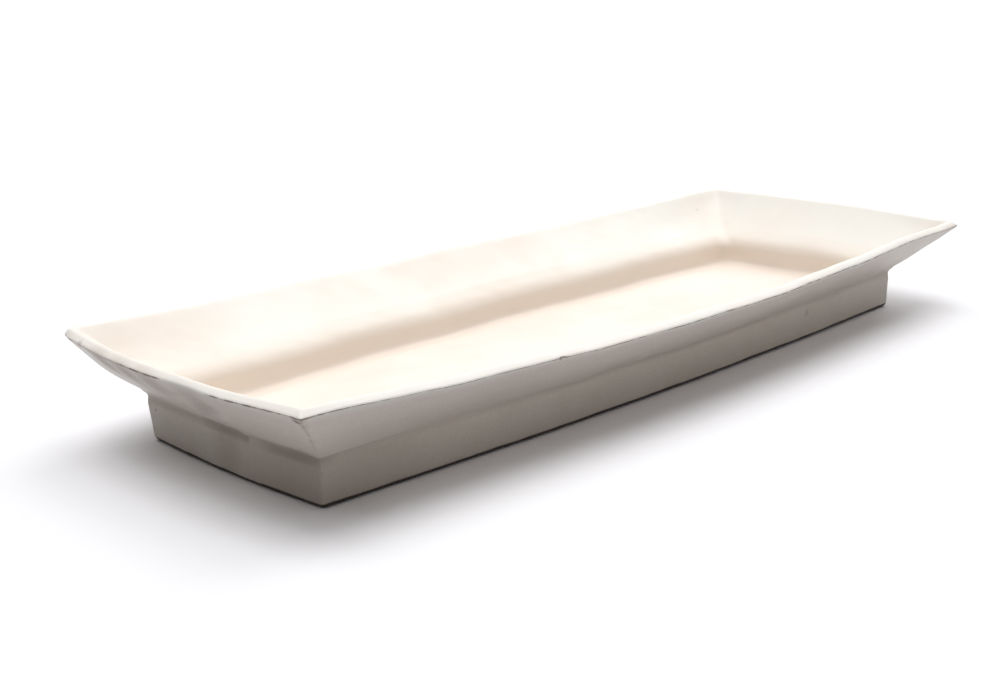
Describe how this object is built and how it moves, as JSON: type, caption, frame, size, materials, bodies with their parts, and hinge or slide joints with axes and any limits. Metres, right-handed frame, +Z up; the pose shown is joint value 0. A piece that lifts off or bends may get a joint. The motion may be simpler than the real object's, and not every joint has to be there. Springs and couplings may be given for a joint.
{
  "type": "rectangular plate",
  "caption": "Long rectangular serving plate of white-glazed stoneware, slab-built with a low boxed base, a shallow well and a flared, mitred rim with bowed sides and raised corners.",
  "frame": {"origin": "on the table, under the middle of the plate", "axes": "+X along the plate, +Y across it, +Z up"},
  "size_m": [0.3578, 0.1434, 0.0384],
  "materials": {
    "white_glaze": "warm white glaze over stoneware, satin to glossy"
  },
  "bodies": {
    "root": {"floor_slab": "white_glaze", "wall_front": "white_glaze", "wall_right": "white_glaze", "wall_back": "white_glaze", "wall_left": "white_glaze", "rim_front": "white_glaze", "rim_right": "white_glaze", "rim_back": "white_glaze", "rim_left": "white_glaze", "floor_coil_front": "white_glaze", "floor_coil_right": "white_glaze", "floor_coil_back": "white_glaze", "floor_coil_left": "white_glaze", "corner_coil_back_right": "white_glaze", "corner_coil_back_left": "white_glaze", "corner_coil_front_left": "white_glaze", "corner_coil_front_right": "white_glaze"}
  },
  "joints": []
}
